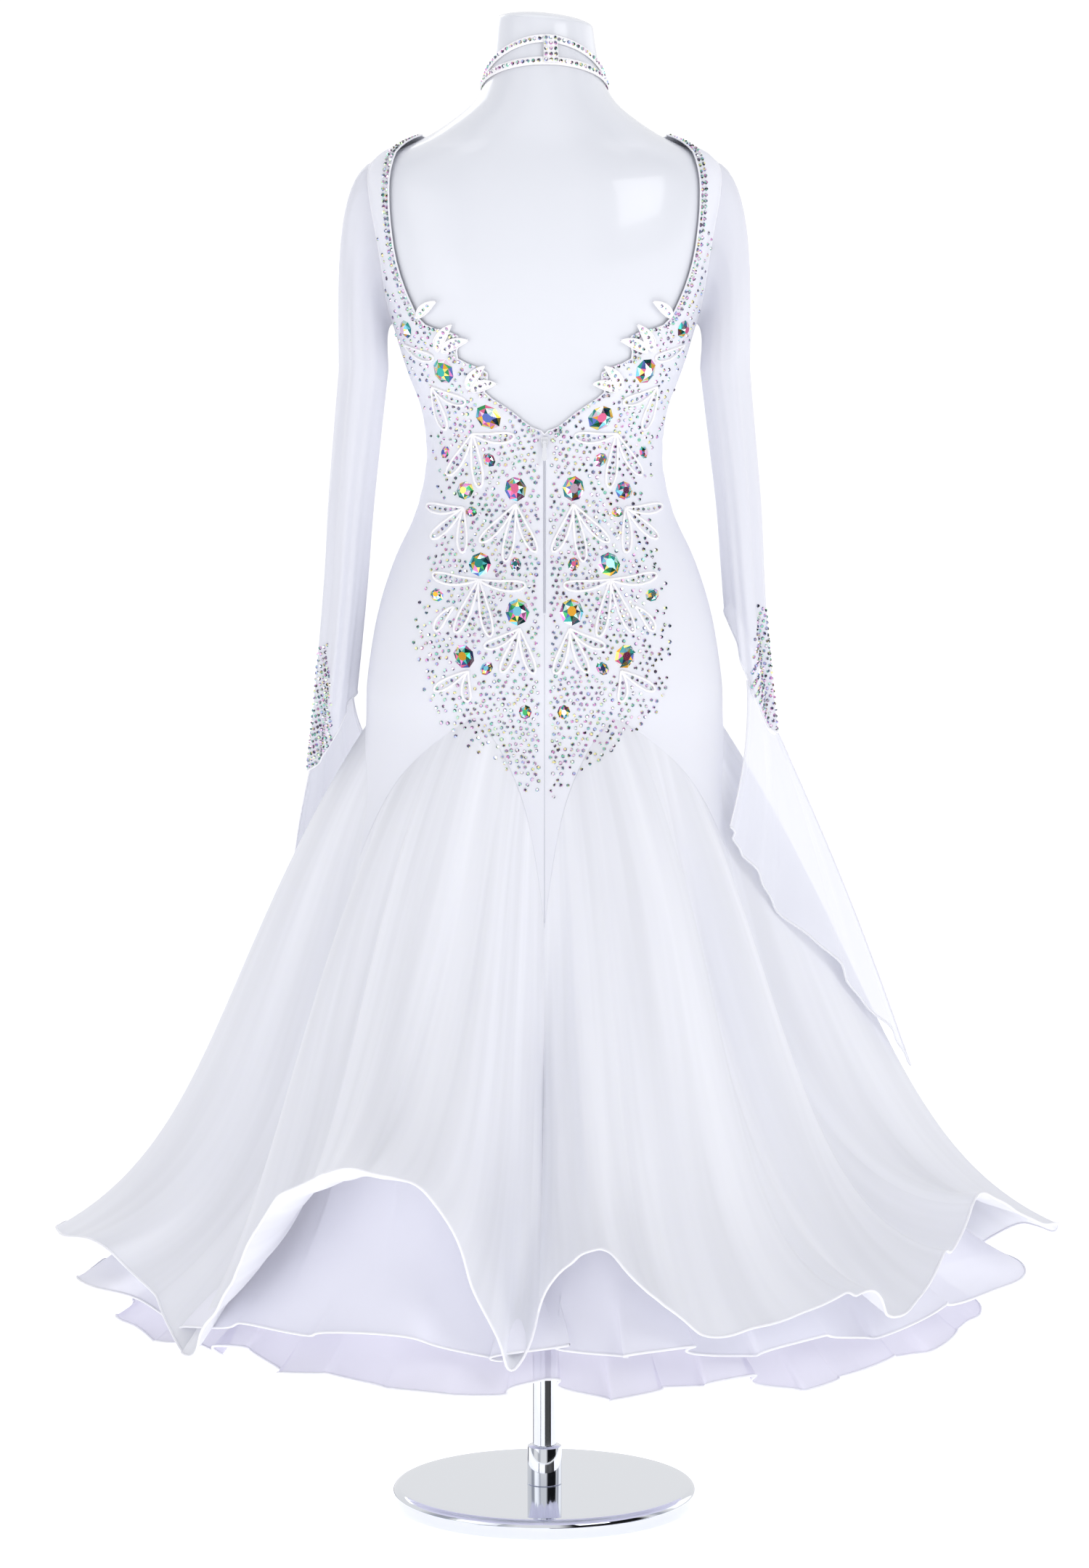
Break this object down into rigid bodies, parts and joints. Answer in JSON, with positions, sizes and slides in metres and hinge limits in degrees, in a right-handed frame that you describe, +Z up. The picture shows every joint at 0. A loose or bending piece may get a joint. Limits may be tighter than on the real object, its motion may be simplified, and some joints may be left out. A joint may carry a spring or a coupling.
{
  "type": "ballroom dance dress on a dress form",
  "caption": "Open-backed ballroom dance dress with godets, flounces, hanging sleeves, chiffon floats and a choker, worn by a limbless dress form on a pole stand.",
  "frame": {"origin": "centre of the round base plate's underside, on the floor, under the pole", "axes": "+Z up along the pole; the dress faces -Y, so its open back faces +Y and the wearer's left is +X"},
  "size_m": [1.0752, 0.8706, 1.591],
  "materials": {
    "crepe": "matte stretch crepe",
    "lining": "satin lining",
    "net": "stiff net",
    "organza": "sheer organza",
    "band": "stoned band",
    "shell": "glossy white shell",
    "chrome": "polished chrome",
    "zip": "plated zip metal"
  },
  "bodies": {
    "dress": {"dress_form": "shell", "stand_pole": "chrome", "stand_base": "chrome", "back_left": "crepe", "back_right": "crepe", "front": "crepe", "godet_back_left": "crepe", "godet_side_left": "crepe", "godet_front_left": "crepe", "godet_front_right": "crepe", "godet_side_right": "crepe", "godet_back_right": "crepe", "flounce_middle_back_left": "lining", "flounce_middle_back_right": "lining", "flounce_middle_front_left": "lining", "flounce_middle_front_right": "lining", "flounce_lowest_back_left": "net", "flounce_lowest_back_right": "net", "flounce_lowest_front_left": "net", "flounce_lowest_front_right": "net", "sleeve_left": "organza", "sleeve_right": "organza", "float_left": "organza", "float_right": "organza", "choker_upper": "band", "choker_lower": "band", "choker_tab": "band", "zip_slider": "zip"},
    "zip_pull": {"zip_pull": "zip"}
  },
  "joints": [
    {"name": "pull_hinge", "type": "hinge", "parent": "dress", "child": "zip_pull", "pos_m": [0, 0.08877, 1.13876], "axis": [1, 0, 0], "range_deg": [0, 150]}
  ]
}
